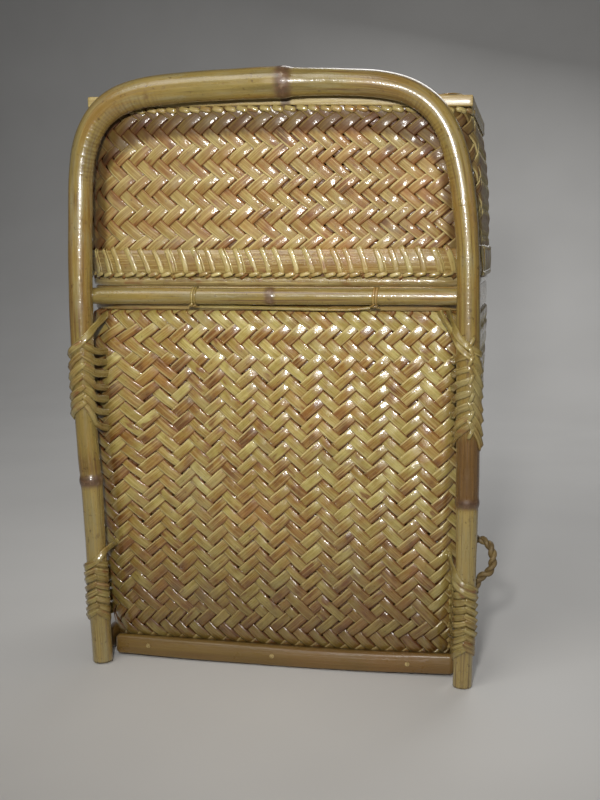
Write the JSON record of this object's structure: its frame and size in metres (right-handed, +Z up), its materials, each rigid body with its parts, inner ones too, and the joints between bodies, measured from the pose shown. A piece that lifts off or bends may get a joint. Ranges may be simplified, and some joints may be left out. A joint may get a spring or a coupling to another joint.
{
  "type": "pack basket",
  "caption": "Tall woven cane pack basket with a lift-off telescoping lid, a bent cane frame arching over the front, plaited cane lashings and short cord loops.",
  "frame": {"origin": "on the floor the basket stands on, under the middle of the basket's width and depth", "axes": "+Z up, -Y towards the side with the bent cane frame, +X to the right seen from that side"},
  "size_m": [0.3217, 0.215, 0.4446],
  "materials": {
    "woven_cane": "varnished twill of split cane, glossy",
    "whole_cane": "varnished whole rattan cane with node rings",
    "split_cane": "split cane strand, semi-gloss",
    "bamboo_slat": "flat split bamboo, varnished",
    "twisted_cord": "two-ply twisted plant-fibre cord",
    "nail": "small brass-coloured pin"
  },
  "bodies": {
    "basket": {"body_shell": "woven_cane", "body_hoop": "split_cane", "body_mouth_inner_hoop": "split_cane", "frame_cane": "whole_cane", "mid_rail": "whole_cane", "mid_rail_tie_left": "split_cane", "mid_rail_tie_right": "split_cane", "mid_rail_strand": "split_cane", "bottom_slat_front": "bamboo_slat", "bottom_slat_back": "bamboo_slat", "bottom_slat_left": "bamboo_slat", "bottom_slat_right": "bamboo_slat", "bottom_slat_nails": "nail", "lashing_upper_left": "split_cane", "lashing_upper_right": "split_cane", "lashing_lower_left": "split_cane", "lashing_lower_right": "split_cane", "cord_loop_left": "twisted_cord", "cord_loop_right": "twisted_cord"},
    "lid": {"lid_shell": "woven_cane", "lid_rim_hoop": "split_cane", "lid_rim_band": "split_cane", "lid_rim_inner_band": "split_cane", "lid_rim_stitching": "split_cane", "lid_rim_braid": "split_cane", "lid_top_slat_front": "bamboo_slat", "lid_top_slat_back": "bamboo_slat", "lid_top_slat_left": "bamboo_slat", "lid_top_slat_right": "bamboo_slat", "lid_top_edge_braid": "split_cane"}
  },
  "joints": [
    {"name": "lid_lift", "type": "slide", "parent": "basket", "child": "lid", "axis": [0, 0, 1], "range_m": [0, 0.12]}
  ]
}
